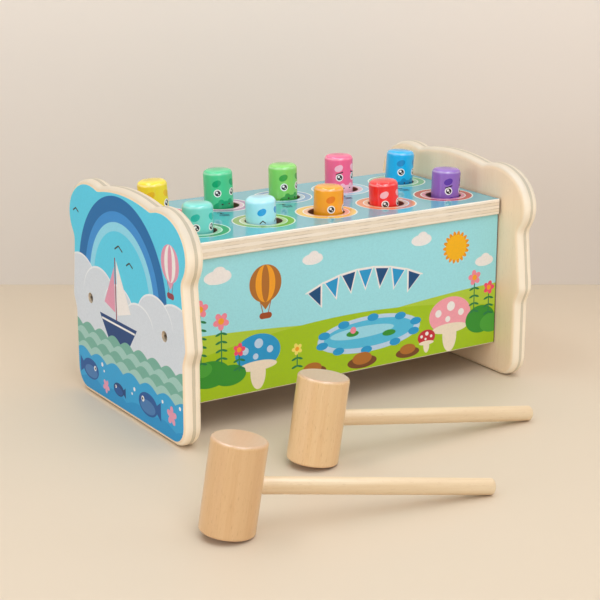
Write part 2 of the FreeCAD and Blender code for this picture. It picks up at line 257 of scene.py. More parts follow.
def giveWood(group, takes, look, share, fibre, marks):  # adds fibres and marks to a figure
    share = plus(group, share, times(group, minus(group, fibre, look["fibreMiddle"]), look["fibreShare"]))
    colour = blend(group, calc(group, "MAXIMUM", share, 0.0, clamp=True), takes["Light"], takes["Dark"])
    colour = blend(group, times(group, marks, look["markShare"]), colour, look["markInk"])
    height = minus(group, times(group, fibre, look["fibreRise"]), times(group, marks, look["markDrop"]))
    return give(group, Color=colour, Height=height)


def makeVeneer():
    look = veneerLook
    group, takes = newGroup("sliced veneer", ("Vector", "Light", "Dark", "Figure", "Pores"), ("Color", "Height"))
    sway = speckle(group, takes["Vector"], **look["sway"])
    offset = times(group, minus(group, sway, 0.5), look["swayReach"])
    x, y, z = axes(group, takes["Vector"])
    bent = joined(group, x, plus(group, y, offset), plus(group, z, offset))
    cathedral, bands, fibre, pore = [speckle(group, bent, **look[layer])
                                     for layer in ("cathedral", "bands", "fibre", "pore")]
    pores = times(group, between(group, pore, *look["poreRange"]), takes["Pores"])
    share = weighed(group, cathedral, look["cathedralShare"], bands, look["bandShare"])
    share = times(group, between(group, share, *look["figureRange"]), takes["Figure"])
    return giveWood(group, takes, look, share, fibre, pores)


def makePlies():  # plies through the thickness of a board: every other one shows its end grain
    look = plyLook
    group, takes = newGroup("plies on an edge", ("Vector", "Depth", "Thickness", "Count", "Uneven"), ("Core", "Glue"))
    drift = speckle(group, takes["Vector"], **look["drift"])
    drift = times(group, minus(group, drift, 0.5), takes["Uneven"])
    ply = calc(group, "DIVIDE", takes["Thickness"], takes["Count"])
    step = plus(group, calc(group, "DIVIDE", takes["Depth"], ply), drift)
    whole = calc(group, "FLOOR", step)
    part = minus(group, step, whole)
    core = calc(group, "FLOORED_MODULO", whole, 2.0)
    toLine = times(group, minus(group, 0.5, calc(group, "ABSOLUTE", minus(group, part, 0.5))), ply)
    line = minus(group, 1.0, between(group, toLine, *look["lineRange"]))
    broken = speckle(group, takes["Vector"], **look["broken"])
    line = times(group, line, between(group, broken, *look["brokenRange"]))
    inside = times(group, calc(group, "GREATER_THAN", step, 0.5),
                   calc(group, "LESS_THAN", step, minus(group, takes["Count"], 0.5)))
    return give(group, Core=times(group, core, inside), Glue=times(group, line, inside))


def makeBeech():
    look = beechLook
    group, takes = newGroup("turned beech", ("Vector", "Light", "Dark", "Flecks"), ("Color", "Height"))
    rings, streak, fibre, ray = [speckle(group, takes["Vector"], **look[layer])
                                 for layer in ("rings", "streak", "fibre", "ray")]
    rays = times(group, between(group, ray, *look["rayRange"]), takes["Flecks"])
    share = weighed(group, rings, look["ringShare"], streak, look["streakShare"])
    share = times(group, between(group, share, *look["figureRange"]), look["figure"])
    return giveWood(group, takes, look, share, fibre, rays)


def makeEndGrain():
    look = endGrainLook
    group, takes = newGroup("end grain", ("Vector", "Light", "Dark"), ("Color", "Height"))
    vector = takes["Vector"]
    y, z = axes(group, vector)[1:]
    pith = joined(group, 0.0, plus(group, y, look["pith"][0]), minus(group, z, look["pith"][1]))
    wobble = speckle(group, vector, **look["wobble"])
    length = group.nodes.new("ShaderNodeVectorMath")
    length.operation = "LENGTH"
    group.links.new(pith, length.inputs[0])
    turns = weighed(group, length.outputs["Value"], look["ringTurns"], wobble, look["wobbleTurns"])
    rings = plus(group, times(group, calc(group, "SINE", turns), 0.5), 0.5)
    dots = speckle(group, vector, **look["dots"])
    share = between(group, weighed(group, rings, look["ringShare"], dots, look["dotShare"]), *look["range"])
    return give(group, Color=blend(group, share, takes["Light"], takes["Dark"]), Height=dots)


def makeGlossPaint():  # thick gloss paint: a slow ripple and a faint change of shade
    look = paintLook
    group, takes = newGroup("thick gloss paint", ("Vector", "Paint", "Deeper"), ("Color", "Height", "Haze"))
    ripple, skin, clouds = [speckle(group, takes["Vector"], **look[layer]) for layer in ("ripple", "skin", "cloud")]
    deep = group.nodes.new("ShaderNodeMix")
    deep.data_type = "RGBA"
    deep.blend_type = "MULTIPLY"
    deep.inputs[0].default_value = 1.0
    group.links.new(takes["Paint"], deep.inputs[6])
    deep.inputs[7].default_value = look["deepTint"]
    share = times(group, between(group, clouds, *look["cloudRange"]), takes["Deeper"])
    return give(group, Color=blend(group, share, takes["Paint"], deep.outputs[2]),
                Height=weighed(group, ripple, look["rippleShare"], skin, look["skinShare"]),
                Haze=between(group, skin, *look["hazeRange"]))


# Printed shapes. Across and Up are millimetres on the face; each gives a mask with a thin soft edge.
inkEdge = 0.16
wedgeSlant = 0.8  # the straight way to a wedge's slanting side, as a share of the way across


def shapeGroup(name, *labels):
    return newGroup(name, ("Across", "Up", "X", "Y", *labels), ("Mask",))


def turned(tree, takes):  # the point seen from the shape's middle and along its own axes
    dx = minus(tree, takes["Across"], takes["X"])
    dy = minus(tree, takes["Up"], takes["Y"])
    cosine = calc(tree, "COSINE", takes["Turn"])
    sine = calc(tree, "SINE", takes["Turn"])
    along = plus(tree, times(tree, dx, cosine), times(tree, dy, sine))
    beside = minus(tree, times(tree, dy, cosine), times(tree, dx, sine))
    return along, beside


def inked(tree, depth):  # depth is how far inside the outline the point lies
    return calc(tree, "ADD", calc(tree, "DIVIDE", depth, inkEdge), 0.5, clamp=True)


def hypot(tree, a, b):
    return calc(tree, "SQRT", plus(tree, times(tree, a, a), times(tree, b, b)))


def makeSpot():
    group, takes = shapeGroup("spot", "Wide", "High", "Turn")
    along, beside = turned(group, takes)
    reach = hypot(group, calc(group, "DIVIDE", along, takes["Wide"]), calc(group, "DIVIDE", beside, takes["High"]))
    size = calc(group, "MINIMUM", takes["Wide"], takes["High"])
    return give(group, Mask=inked(group, times(group, minus(group, 1.0, reach), size)))


def makePetals():
    group, takes = shapeGroup("petals", "Radius", "Petals", "Depth", "Turn")
    along, beside = turned(group, takes)
    angle = calc(group, "ARCTAN2", beside, along)
    phase = times(group, angle, times(group, takes["Petals"], 0.5))
    lobe = calc(group, "ABSOLUTE", calc(group, "COSINE", phase))
    rim = minus(group, 1.0, times(group, takes["Depth"], minus(group, 1.0, lobe)))
    edge = times(group, takes["Radius"], rim)
    return give(group, Mask=inked(group, minus(group, edge, hypot(group, along, beside))))


def makeWedge():  # a triangle: its base is centred on X, Y
    group, takes = shapeGroup("wedge", "Wide", "High", "Turn")
    along, beside = turned(group, takes)
    left = times(group, takes["Wide"], minus(group, 1.0, calc(group, "DIVIDE", beside, takes["High"])))
    inside = times(group, minus(group, left, calc(group, "ABSOLUTE", along)), wedgeSlant)
    return give(group, Mask=inked(group, calc(group, "MINIMUM", inside, beside)))


def makeBar():  # a straight bar with round ends, centred on X, Y
    group, takes = shapeGroup("bar", "Long", "Thick", "Turn")
    along, beside = turned(group, takes)
    over = calc(group, "MAXIMUM", minus(group, calc(group, "ABSOLUTE", along), takes["Long"]), 0.0)
    return give(group, Mask=inked(group, minus(group, takes["Thick"], hypot(group, over, beside))))


def makeWave():  # all that lies under a row of round crests; Y is the level
    group, takes = shapeGroup("wave", "Length", "Rise")
    phase = calc(group, "DIVIDE", minus(group, takes["Across"], takes["X"]), takes["Length"])
    crest = calc(group, "ABSOLUTE", calc(group, "COSINE", times(group, phase, math.pi)))
    level = plus(group, takes["Y"], times(group, takes["Rise"], crest))
    return give(group, Mask=inked(group, minus(group, level, takes["Up"])))


veneer = makeVeneer()
plies = makePlies()
beech = makeBeech()
endGrain = makeEndGrain()
glossPaint = makeGlossPaint()
shapes = {"spot": makeSpot(), "petals": makePetals(), "wedge": makeWedge(), "bar": makeBar(), "wave": makeWave()}
print("shared effects and printed shapes ready")


def printOver(tree, colour, across, up, drawing, palette=None):  # lays the shapes of a drawing one over another
    for kind, ink, sizes in drawing:
        mask = use(tree, shapes[kind], Across=across, Up=up, **sizes)["Mask"]
        colour = blend(tree, mask, colour, palette.get(ink, ink) if palette else ink)
    return colour


# Motifs, each a short list of printed shapes
def spot(x, y, wide, ink, high=None, turn=0.0):
    return [("spot", ink, {"X": x, "Y": y, "Wide": wide, "High": high or wide, "Turn": turn})]


def bar(x, y, length, thick, ink, turn=0.0):
    return [("bar", ink, {"X": x, "Y": y, "Long": length, "Thick": thick, "Turn": turn})]


def wedge(x, y, wide, high, ink, turn=0.0):
    return [("wedge", ink, {"X": x, "Y": y, "Wide": wide, "High": high, "Turn": turn})]


def petals(x, y, radius, count, depth, ink, turn=0.0):
    return [("petals", ink, {"X": x, "Y": y, "Radius": radius, "Petals": count, "Depth": depth, "Turn": turn})]


def wave(x, level, length, rise, ink):
    return [("wave", ink, {"X": x, "Y": level, "Length": length, "Rise": rise})]


def cloud(x, y, size, ink):
    drawing = []
    for across, up, wide, high in ((0.0, 0.0, 1.0, 0.46), (-0.42, -0.02, 0.48, 0.4), (0.12, 0.26, 0.5, 0.42),
                                   (0.55, 0.04, 0.42, 0.36)):
        drawing += spot(x + size * across, y + size * up, size * wide, ink, size * high)
    return drawing


def flower(x, y, radius, ink, heart, stem, stemLength, turn):
    drawing = bar(x, y - stemLength / 2, stemLength / 2, 0.45, stem, math.pi / 2)
    for step in range(int(stemLength // 6)):  # a pair of leaves every so often
        low = y - radius - 2.5 - step * 5.5
        drawing += spot(x - 2.2, low, 2.3, stem, 0.8, 0.35) + spot(x + 2.2, low, 2.3, stem, 0.8, -0.35)
    return drawing + petals(x, y, radius, 5, 0.42, ink, turn) + spot(x, y, radius * 0.36, heart)


def toadstool(x, foot, width, cap, stalk, dots):
    top = foot + width * 0.62
    drawing = spot(x, foot + width * 0.22, width * 0.17, stalk, width * 0.34)
    drawing += spot(x, top, width * 0.5, cap, width * 0.36)
    drawing += spot(x, top - width * 0.27, width * 0.42, stalk, width * 0.1)
    for across, up, size in ((-0.28, 0.06, 0.075), (0.02, 0.17, 0.095), (0.27, 0.02, 0.07), (-0.05, -0.08, 0.06)):
        drawing += spot(x + across * width, top + up * width, size * width, dots)
    return drawing


def balloon(x, y, radius, ink, stripe, basket):
    drawing = bar(x - radius * 0.25, y - radius * 1.3, radius * 0.42, 0.3, basket, math.pi / 2 + 0.25)
    drawing += bar(x + radius * 0.25, y - radius * 1.3, radius * 0.42, 0.3, basket, math.pi / 2 - 0.25)
    drawing += wedge(x, y - radius * 0.5, radius * 0.74, radius * 0.95, ink, math.pi)
    drawing += spot(x, y, radius, ink, radius * 1.04)
    drawing += spot(x, y, radius * 0.62, stripe, radius * 1.03) + spot(x, y, radius * 0.24, ink, radius * 1.03)
    drawing += bar(x, y - radius * 1.78, radius * 0.22, radius * 0.17, basket)
    return drawing


def fish(x, y, size, body, belly, way=1):
    drawing = wedge(x - way * size * 1.35, y, size * 0.5, size * 0.75, body, -way * math.pi / 2)
    drawing += spot(x, y, size, body, size * 0.6)
    drawing += spot(x + way * size * 0.04, y - size * 0.14, size * 0.8, belly, size * 0.36)
    for across, wide, ink in ((0.55, 0.15, "#F4F1EC"), (0.58, 0.07, "#2B2430")):  # the eye
        drawing += spot(x + way * size * across, y + size * 0.16, size * wide, ink)
    return drawing


def gull(x, y, size, ink):
    return bar(x - size * 0.5, y, size * 0.5, 0.55, ink, 0.5) + bar(x + size * 0.5, y, size * 0.5, 0.55, ink, -0.5)


# Plywood: the plies run through the thickness, and a print covers only what is flush with a face
plywood = {
    "long": ("#F8ECDC", "#EBD8BD"), "cross": ("#F1E3CE", "#E6D3B7"), "warm": ("#FBE1BF", "#F0D0A4"),
    "rim": ("#E0D4BC", "#D2C2A6"), "pores": 0.5, "specular": 0.4, "roughness": 0.42, "sway": 0.12,
    "glue": "#937853", "glueShare": 0.45, "glueDepth": 0.5, "relief": (0.25, 0.12),
    "rounded": "#FFF1DA", "roundedShare": 0.8, "roundedFrom": 0.2, "roundedTo": 1.2,
    "rimTopShade": "#3A3128", "rimTopShadeShare": 0.3, "rimTopShadeRange": (0.0, 0.8),
    "gapShadow": "#4A3828", "gapShadowShare": 0.92, "gapShadowFrom": 1.3, "gapShadowTo": 0.9,
    "inkRoughness": 0.4, "inkSpecular": 0.15, "inkFills": 0.55, "mottle": {"scale": 0.9, "detail": 3},
    "mottleRange": (0.3, 0.75), "mottleShare": 0.06, "mottleInk": "#3E5560",
}


def boardMaterial(name, depthOf, thickness, count, upright=False, picture=None, inkDepth=0.05,
                  coat=0.0, coatRoughness=0.1, figure=0.55, wood="long", edge="cross", bores=None, coreSpread=1.0,
                  gapShadowAt=None):
    look = plywood
    material, tree, shader = newMaterial(name, Coat_Roughness=coatRoughness,
                                         Specular_IOR_Level=look["inkSpecular" if picture else "specular"])
    vector = placed(tree, benchMiddle)
    x, y, z = axes(tree, vector)
    grain = joined(tree, z, y, x) if upright else vector
    depth = depthOf(tree, x, y, z)
    face = use(tree, veneer, Vector=grain, Figure=figure, Pores=look["pores"], **shades(look[wood]))
    ends = use(tree, endGrain, Vector=grain, **shades(look[edge]))
    half = thickness / 2
    middle = minus(tree, depth, half)
    fromMiddle = times(tree, middle, coreSpread)
    layer = use(tree, plies, Vector=grain, Depth=plus(tree, fromMiddle, half), Thickness=thickness,
                Count=float(count), Uneven=plyLook["uneven"])
    colour = face["Color"]
    if edge == "rim":  # paler where the rounding cuts into the outer ply
        cut = between(tree, calc(tree, "ABSOLUTE", middle), half - look["roundedFrom"], half - look["roundedTo"])
        colour = blend(tree, times(tree, cut, look["roundedShare"]), colour, look["rounded"])
    colour = blend(tree, layer["Core"], colour, ends["Color"])
    colour = blend(tree, times(tree, layer["Glue"], look["glueShare"]), colour, look["glue"])
    if edge == "rim":  # painted shade: a little darker on the up-facing rim
        facing = tree.nodes.new("ShaderNodeNewGeometry")
        upward = between(tree, axes(tree, facing.outputs["Normal"])[2], *look["rimTopShadeRange"])
        colour = blend(tree, times(tree, upward, look["rimTopShadeShare"]), colour, look["rimTopShade"])
    # painted shade inside the deck holes
    if bores:
        colour = bores(tree, colour, x, y)
    height = minus(tree, face["Height"], times(tree, layer["Glue"], look["glueDepth"]))
    roughness = plus(tree, times(tree, face["Height"], look["sway"]), look["roughness"])
    if picture:
        ink = calc(tree, "LESS_THAN", depth, inkDepth)
        mottle = between(tree, noise(tree, vector, **look["mottle"]), *look["mottleRange"])
        printed = blend(tree, times(tree, mottle, look["mottleShare"]), picture(tree, x, y, z), look["mottleInk"])
        colour = blend(tree, ink, colour, printed)
        roughness = plus(tree, times(tree, ink, look["inkRoughness"] - look["roughness"]), roughness)
        height = times(tree, height, minus(tree, 1.0, times(tree, ink, look["inkFills"])))
        if coat:
            tree.links.new(times(tree, ink, coat), shader.inputs["Coat Weight"])
    if gapShadowAt:  # painted shadow: the dark line of the gap where the board meets an end plate
        gapShadow = between(tree, calc(tree, "ABSOLUTE", x), gapShadowAt - look["gapShadowFrom"], gapShadowAt - look["gapShadowTo"])
        colour = blend(tree, times(tree, gapShadow, look["gapShadowShare"]), colour, look["gapShadow"])
    tree.links.new(colour, shader.inputs["Base Color"])
    tree.links.new(roughness, shader.inputs["Roughness"])
    relief(tree, shader, height, *look["relief"])
    return material


def dress(material, *names):
    for name in names:
        for slot in cadNodes[name].material_slots:
            slot.material = material


def dressBoard(node, name, axis, count, fromLow=True, gapShadowed=False, **settings):
    low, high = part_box(node)
    face = ((low if fromLow else high)[axis] - benchMiddle[axis]) / mm

    def depthOf(tree, *point):  # below the face from which the plies are counted
        return minus(tree, point[axis], face) if fromLow else minus(tree, face, point[axis])

    gapShadowAt = (high.x - low.x) / 2 / mm if gapShadowed else None
    dress(boardMaterial(name, depthOf, (high[axis] - low[axis]) / mm, count, gapShadowAt=gapShadowAt, **settings), node)


# Left end plate: sky with a rainbow, a bank of cloud, a sailing boat and the sea with fish
platePrint = {
    "sky": "#5FD3EF", "rainbow": "#2270AE", "rainbowBlue": "#3F93D8", "rainbowPale": "#93DCF2", "cloud": "#D9E0E8",
    "cloudRim": "#EDF1F5", "teal": "#79B3A2", "pale": "#A3CDC3", "sea": "#38A6DA", "deepSea": "#2C97D0",
    "navy": "#27497F", "fish": "#2B5C9C", "fishBelly": "#4C7EB4", "sail": "#F5EFEA", "pink": "#E59DB4",
    "mast": "#97434F", "foam": "#F4F2EE", "dark": "#3A2C2A", "print": 0.09,
}


def sail(mast, top, wide, high, ink, side):
    slope = math.atan(wide / high)
    return wedge(mast + side * high * math.sin(slope), top - high * math.cos(slope), wide, high, ink, side * slope)


def puff(x, y, wide, high, ink, rim):
    return spot(x, y, wide, rim, high) + spot(x, y - 1.3, wide, ink, high)


def drawPlate(tree, x, y, z):
    across = times(tree, y, -1.0)
    drawing = spot(-6, 84, 63, "rainbow") + spot(-6, 84, 53, "rainbowBlue")
    drawing += spot(-6, 84, 46, "rainbowPale") + spot(-6, 84, 40, "sky")
    drawing += balloon(62, 118, 11.5, "pink", "sail", "mast")
    drawing += gull(-8, 113, 5.5, "dark") + gull(7, 105, 4.5, "dark") + gull(-71, 127, 4.0, "dark")
    for place, level, wide, high in ((-66, 78, 24, 20), (68, 76, 24, 17), (-38, 72, 25, 22), (40, 74, 24, 19),
                                     (-10, 70, 22, 18), (18, 68, 20, 14)):
        drawing += puff(place, level, wide, high, "cloud", "cloudRim")
    drawing += wave(4, 66, 40, 5, "cloud")
    drawing += bar(-14, 80, 25, 0.7, "mast", math.pi / 2)
    drawing += sail(-12.4, 104, 10, 36, "sail", 1) + sail(-15.6, 99, 8, 30, "pink", -1)
    drawing += wedge(-12, 63, 27, 34, "navy", math.pi) + bar(-12, 59.8, 23.2, 0.7, "foam")
    for place, level, ink in ((0, 47.5, "teal"), (9, 42.5, "pale"), (3, 37.5, "teal"), (12, 32.5, "pale")):
        drawing += wave(place, level, 19, 3.5, ink)
    drawing += wave(5, 27.5, 24, 4, "sea") + wave(14, 9, 34, 4, "deepSea")
    drawing += fish(-56, 18, 12, "fish", "fishBelly") + fish(28, 17, 13, "fish", "fishBelly", -1)
    drawing += fish(-14, 15, 7.5, "navy", "fish", -1)
    drawing += petals(60, 19, 6.5, 5, 0.5, "pink", 0.3) + petals(-33, 12, 5, 5, 0.5, "pink", 1.0)
    for place, level, size in ((-38, 26, 1.5), (-35.5, 22, 0.9), (9, 22, 1.4), (5.5, 18, 0.9), (48, 25, 1.2),
                               (71, 27, 1.3)):  # bubbles
        drawing += spot(place, level, size, "foam")
    return printOver(tree, platePrint["sky"], across, z, drawing, platePrint)


# Side panels: a meadow under a pale sky
panelPrint = {
    "sky": "#A2E2E9", "grass": "#A6C61E", "grassFar": "#B4CE3C", "hedge": "#3C9433", "hedgeLight": "#4FA53C",
    "sun": "#FBB91D", "sunRim": "#F09A1C", "cloud": "#F4EDE8", "pink": "#F48C9C", "rose": "#F4536F",
    "heart": "#F6A42C", "stem": "#2F7F4A", "blue": "#2E9BD0", "bluePale": "#BFD6EC", "navy": "#20507F",
    "brown": "#B4702F", "rust": "#A44E26", "soil": "#7A4A28", "water": "#58BEE0", "waterPale": "#9EDCEC",
    "cream": "#F3E2C9", "yellow": "#F4E06A", "blush": "#F7A3AE", "red": "#C8323C",
}


def drawPanel(tree, across, up):
    drawing = wave(-150, 58, 300, 9, "grassFar") + wave(0, 50, 260, 13, "grass")
    drawing += petals(88, 97, 11.5, 18, 0.24, "sunRim") + spot(88, 97, 8.8, "sun")
    for place, level, size in ((-101, 103, 10), (-30, 105, 8), (58, 106, 8.5), (113, 84, 8)):
        drawing += cloud(place, level, size, "cloud")
    for step in range(-3, 4):  # a string of pennants
        turn = step * 0.13
        place = 12 + step * 13.5
        level = 92 - 1.1 * step ** 2 * 0.8
        drawing += wedge(place, level + 1.2, 6.6, 15.6, "cloud", math.pi - turn)
        drawing += wedge(place, level, 5.2, 12.4, "navy" if step % 2 else "blue", math.pi - turn)
        drawing += bar(place, level + 1.0, 7.2, 0.5, "cloud", -turn)
    drawing += balloon(-66, 94, 12, "brown", "heart", "rust")
    drawing += spot(16, 47, 42, "bluePale", 12.5) + spot(16, 47.4, 37, "water", 9.4)
    drawing += spot(10, 49, 26, "waterPale", 4)
    for step in range(10):  # stones round the pond
        angle = step * math.pi / 5 + 0.25
        drawing += spot(16 + 39.6 * math.cos(angle), 47 + 11 * math.sin(angle), 4.6, "blue", 2.6)
    drawing += spot(2, 49, 5, "hedge", 2) + spot(2.5, 51.4, 2.4, "pink") + spot(32, 45, 5.5, "hedge", 2.1)
    drawing += toadstool(-72, 28, 34, "blue", "cream", "bluePale")
    drawing += toadstool(84, 27, 36, "blush", "cream", "cloud")
    drawing += toadstool(64, 27, 15, "red", "cream", "cloud")
    for place, size in ((-30, 11), (10, 12), (48, 10)):  # molehills
        drawing += spot(place, 28, size, "soil", size * 0.36)
        drawing += spot(place, 30.5, size * 0.66, "brown", size * 0.36)
    for place, level, wide, high, ink in ((-108, 40, 15, 9, "hedge"), (-93, 37, 12, 7, "hedge"),
                                          (-113, 44, 7, 5, "hedgeLight"), (111, 42, 13, 10, "hedge"),
                                          (121, 38, 10, 7, "hedgeLight")):
        drawing += spot(place, level, wide, ink, high)
    for place, level, radius, ink, length, turn in (
            (-114, 84, 6, "pink", 36, 0.3), (-99, 74, 6, "pink", 28, 0.9), (-86, 53, 4.6, "rose", 14, 0.1),
            (105, 73, 5.6, "pink", 24, 0.5), (118, 64, 5, "rose", 18, 0.0), (-42, 46, 4.2, "yellow", 12, 0.7)):
        drawing += flower(place, level, radius, ink, "heart", "stem", length, turn)
    return printOver(tree, panelPrint["sky"], across, up, drawing, panelPrint)


# Deck: a pale sea-blue ground with a target round each hole
deckPrint = {
    "ground": "#52AEBE", "line": "#E9F3EC", "outerRadius": 21.0, "ringRadius": 20.1, "lineRadius": 15.9,
    "paleRadius": 15.2, "boreRadius": 12.55, "bore": "#7E5B4A",
    "rings": {
        "back": [("#DC5F7C", "#F2B6C4"), ("#A97BA6", "#E0B4CB"), ("#5C9BC9", "#A5CBE2"), ("#84C3DC", "#DCB2C8"),
                 ("#5FB585", "#9BD2B2")],
        "front": [("#2F9660", "#A9D4B4"), ("#70A82C", "#C0D69C"), ("#F1C12C", "#F1B488"), ("#E87A20", "#F2B27E"),
                  ("#BE1022", "#DE7A9A")],
    },
}
columns = []
for number in range(1, 6):
    rockerLow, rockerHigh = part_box(f"rocker_{number}")
    columns.append((rockerLow.x + rockerHigh.x) / 2)


def drawDeck(tree, x, y, z):
    look = deckPrint
    drawing = []
    for row, side in (("back", 1), ("front", -1)):
        for column, (ring, pale) in zip(columns, look["rings"][row]):
            across = (column - benchMiddle.x) / mm
            for radius, ink in ((look["outerRadius"], look["line"]), (look["ringRadius"], ring),
                                (look["lineRadius"], look["line"]), (look["paleRadius"], pale)):
                drawing += spot(across, side * rowOffset / mm, radius, ink)
    return printOver(tree, look["ground"], x, y, drawing)


def drawBores(tree, wood, x, y):  # painted shade: brown inside the ten holes
    drawing = []
    for side in (1, -1):
        for column in columns:
            across = (column - benchMiddle.x) / mm
            drawing += spot(across, side * rowOffset / mm, deckPrint["boreRadius"], deckPrint["bore"])
    return printOver(tree, wood, x, y, drawing)


plateBoard = {"upright": True, "figure": 0.3, "wood": "warm", "edge": "rim", "coreSpread": 1.9}
panelBoard = {"coat": 0.1, "coatRoughness": 0.2, "gapShadowed": True}
dressBoard("left_end_plate", "printed sky and sea on plywood", 0, 3, picture=drawPlate,
           inkDepth=platePrint["print"], **plateBoard)
dressBoard("right_end_plate", "bare plywood end", 0, 3, **plateBoard)
dressBoard("deck", "printed targets on plywood", 2, 5, fromLow=False, gapShadowed=True, picture=drawDeck, coat=1.0,
           coatRoughness=0.05, bores=drawBores)
dressBoard("front_side_panel", "printed meadow on plywood", 1, 3,
           picture=lambda tree, x, y, z: drawPanel(tree, x, z), **panelBoard)
dressBoard("back_side_panel", "printed meadow on plywood, back", 1, 3, fromLow=False,
           picture=lambda tree, x, y, z: drawPanel(tree, times(tree, x, -1.0), z), **panelBoard)
dressBoard("guide_board", "unprinted plywood", 2, 3, fromLow=False)
print("boards printed")


# Pegs: thick gloss paint with a printed face turned to the front. Lengths are millimetres.
pegLook = {
    "radius": 10.0, "roughness": 0.4, "sway": 0.1, "coat": 1.0, "coatRoughness": 0.09, "specular": 0.1,
    "relief": (0.25, 0.15), "pegTopShadeDrops": (0.9, 0.1), "pegTopShadeShare": 0.3, "pegTopShade": "#4A4440",
    "shoulderHighlightDrops": (3.5, 2.8, 1.7, 2.4), "shoulderHighlight": {"scale": 0.1, "detail": 2}, "shoulderHighlightRange": (0.4, 0.56),
    "shoulderHighlightShare": 0.2, "white": "#FBF7F2", "dark": "#2B2024",
    "back": [("#FFE030", "#F9C120", 0, ""), ("#4CD091", "#00A86C", 0, ""), ("#8BDB68", "#3EA843", 6, ""),
             ("#FF6995", "#FFC2D2", 2, "brow"), ("#00B7F0", "#008FCB", 4, "")],
    "front": [("#79DED1", "#14BFAE", -2, ""), ("#B3F2FF", "#1FA6E8", 8, "wink"), ("#FFA61C", "#F07C00", 10, ""),
              ("#FC2828", "#FFBCC2", 3, ""), ("#9468C1", "#5A2EA2", 8, "brow")],
}
faceLook = {  # places and half sizes in millimetres about each feature's own place, with a turn where one is needed
    "eyeAngle": 33, "eyeDrop": 15.4, "patchDrop": 9.0, "muzzleDrop": 21.5,
    "muzzle": ((0, -3.4, 9.0, 3.9), (0, -7, 9.0, 5), (-3.4, -0.2, 2.0, 2.0), (3.4, -0.2, 2.0, 2.0)),
    "patch": ((0.5, 0, 3.1, 2.2, -0.4), (-0.6, 0.9, 2.0, 1.7, 0.0)),
    "eye": ((0, 0, 2.65, "white"), (0.1, 0, 1.95, "dark"), (-0.45, 0.55, 0.8, "white"), (0.75, -0.7, 0.4, "white")),
    "wink": ((-0.9, 1.1, 0.36, 0.7), (0.9, 1.1, 0.36, -0.7)), "brow": (3.0, 2.3, 0.42, -0.34),
    "nostril": (2.6, -1.7, 0.75, 0.5), "mouth": ((-5.2, 2.6, 1.5), (-4.7, 2.9, 1.4)),
}


def drawFace(patch, mood):
    look = faceLook
    dark = pegLook["dark"]
    drawing = []
    for across, up, wide, high in look["muzzle"]:
        drawing += spot(across, up - look["muzzleDrop"], wide, patch, high)
    for side in (-1, 1):
        place = side * math.radians(look["eyeAngle"]) * pegLook["radius"]
        for across, up, wide, high, turn in look["patch"]:
            drawing += spot(place + side * across, up - look["patchDrop"], wide, patch, high, side * turn)
        if mood == "wink":
            for across, length, thick, turn in look["wink"]:
                drawing += bar(place + across, -look["eyeDrop"], length, thick, dark, turn)
        else:
            for across, up, size, ink in look["eye"]:
                drawing += spot(place + across, up - look["eyeDrop"], size, pegLook[ink])
        if mood == "brow":
            up, length, thick, turn = look["brow"]
            drawing += bar(place, up - look["eyeDrop"], length, thick, dark, side * turn)
        across, up, wide, high = look["nostril"]
        drawing += spot(side * across, up - look["muzzleDrop"], wide, dark, high)
    for (up, wide, high), ink in zip(look["mouth"], (dark, patch)):
        drawing += spot(0, up - look["muzzleDrop"], wide, ink, high)
    return drawing


def paintPeg(node, slide, paint, patch, turn, mood):
    look = pegLook
    low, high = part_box(node)
    axis = Vector(slide["axis"])
    lean = math.atan2(axis.x, axis.z)
    material, tree, shader = newMaterial("gloss paint on " + node, Coat_Weight=look["coat"],
                                         Coat_Roughness=look["coatRoughness"], Specular_IOR_Level=look["specular"])
    vector = placed(tree, (low + high) / 2, (0, lean, math.radians(turn)))
    x, y, z = axes(tree, vector)
    top = (high.z - low.z) / 2 / mm
    around = calc(tree, "ARCTAN2", x, times(tree, y, -1.0))
    across = times(tree, around, look["radius"])
    coatOfPaint = use(tree, glossPaint, Vector=vector, Paint=paint, Deeper=paintLook["deeper"])
    colour = printOver(tree, coatOfPaint["Color"], across, minus(tree, z, top), drawFace(patch, mood))
    pegTopShade = between(tree, z, *[top - drop for drop in look["pegTopShadeDrops"]])  # painted shade: the top darker against the light from above
    colour = blend(tree, times(tree, pegTopShade, look["pegTopShadeShare"]), colour, look["pegTopShade"])
    # painted highlight: a pale ring on the shoulder, broken up in patches
    ring = [top - drop for drop in look["shoulderHighlightDrops"]]
    shoulder = times(tree, between(tree, z, *ring[:2]), between(tree, z, *ring[2:]))
    wearAndSheenPatches = between(tree, noise(tree, vector, **look["shoulderHighlight"]), *look["shoulderHighlightRange"])
    shoulderHighlight = times(tree, times(tree, shoulder, wearAndSheenPatches), look["shoulderHighlightShare"])
    surface(tree, shader, look, blend(tree, shoulderHighlight, colour, look["white"]), coatOfPaint["Haze"], coatOfPaint["Height"])
    dress(material, node)


slides = {joint["child"]: joint for joint in frame["joints"]}
for row in ("back", "front"):
    for number, (paint, patch, turn, mood) in enumerate(pegLook[row], 1):
        node = f"peg_{row}_{number}"
        paintPeg(node, slides[node], paint, patch, turn, mood)
print("pegs painted")


# Mallets: turned beech, a head with end grain at its two ends and a paler handle
mallet = {
    "front": ("#E0B684", "#D7A975"), "rear": ("#EAC593", "#E1B682"), "ends": ("#DAB28C", "#CDA178"),
    "handles": ("#EDD4AF", "#DEBD91"), "headLength": 54.0, "endFrom": 1.1, "endTo": 0.3,
    "head": {"coat": 0.5, "coatRoughness": 0.16, "flecks": 0.6, "roughness": 0.34, "sway": 0.14, "relief": (0.3, 0.1)},
    "handle": {"coat": 0.2, "coatRoughness": 0.3, "flecks": 0.35, "roughness": 0.42, "sway": 0.16,
               "relief": (0.3, 0.12)},
}


